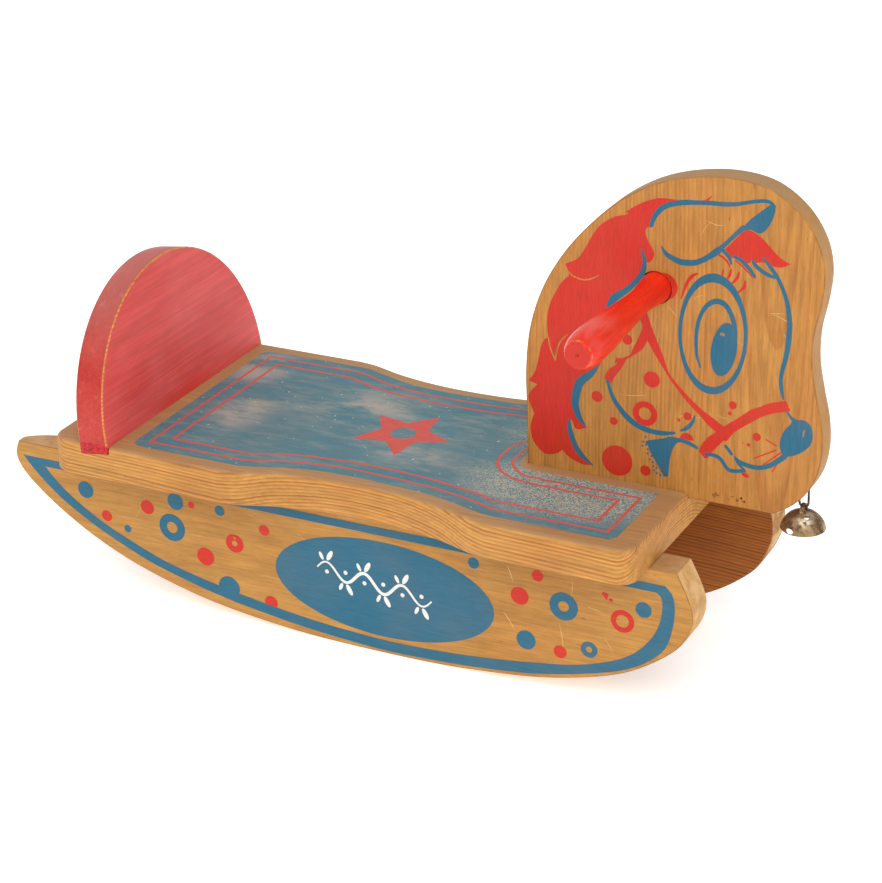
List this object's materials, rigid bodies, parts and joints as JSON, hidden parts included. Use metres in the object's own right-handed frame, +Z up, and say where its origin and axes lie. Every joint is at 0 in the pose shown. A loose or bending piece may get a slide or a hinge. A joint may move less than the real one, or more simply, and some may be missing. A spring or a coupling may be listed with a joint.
{
  "type": "rocking horse",
  "caption": "Low wooden rocking horse for a small child: waisted seat on two curved rockers, leaning half-round backrest, flat printed horse head with turned grips and a hanging bell.",
  "frame": {"origin": "on the floor, under the middle of the bounding box; the rockers touch the floor about there", "axes": "+X forward, the way the horse faces; +Y to the horse's left, across the seat; +Z up"},
  "size_m": [0.6683, 0.302, 0.4026],
  "materials": {
    "seat_pine": "satin varnish over tan pine, worn, the top printed in faded blue",
    "head_pine": "satin varnish over orange-tan pine, both faces printed",
    "rocker_pine": "satin varnish over orange-tan pine, outer faces printed",
    "cleat_pine": "bare pine darkened with age",
    "backrest_paint": "red paint on pine, worn through along the front edge",
    "handle_paint": "glossy bright red paint on turned hardwood",
    "screw_steel": "dull countersunk wood screws",
    "staple_wire": "tarnished steel wire",
    "bell_metal": "tarnished plated sheet metal with brown spots",
    "clapper_metal": "dark oxidised steel"
  },
  "bodies": {
    "horse": {"seat_board": "seat_pine", "backrest": "backrest_paint", "head_board": "head_pine", "bell_staple": "staple_wire", "rocker_right": "rocker_pine", "cleat_right": "cleat_pine", "handle_right": "handle_paint", "rocker_left": "rocker_pine", "cleat_left": "cleat_pine", "handle_left": "handle_paint", "head_screw_1": "screw_steel", "head_screw_2": "screw_steel", "backrest_screw_1": "screw_steel", "backrest_screw_2": "screw_steel", "backrest_screw_3": "screw_steel", "cleat_right_up_screw_1": "screw_steel", "cleat_right_up_screw_2": "screw_steel", "cleat_right_up_screw_3": "screw_steel", "cleat_right_side_screw_1": "screw_steel", "cleat_right_side_screw_2": "screw_steel", "cleat_right_side_screw_3": "screw_steel", "cleat_left_up_screw_1": "screw_steel", "cleat_left_up_screw_2": "screw_steel", "cleat_left_up_screw_3": "screw_steel", "cleat_left_side_screw_1": "screw_steel", "cleat_left_side_screw_2": "screw_steel", "cleat_left_side_screw_3": "screw_steel"},
    "bell": {"bell_shell": "bell_metal"},
    "clapper": {"bell_clapper": "clapper_metal"}
  },
  "joints": [
    {"name": "bell_swing", "type": "hinge", "parent": "horse", "child": "bell", "pos_m": [0.318, 0, 0.1521], "axis": [1, 0, 0], "range_deg": [-30, 30]},
    {"name": "clapper_swing", "type": "hinge", "parent": "bell", "child": "clapper", "pos_m": [0.318, 0, 0.1505], "axis": [0, 1, 0], "range_deg": [-30, 30]}
  ]
}
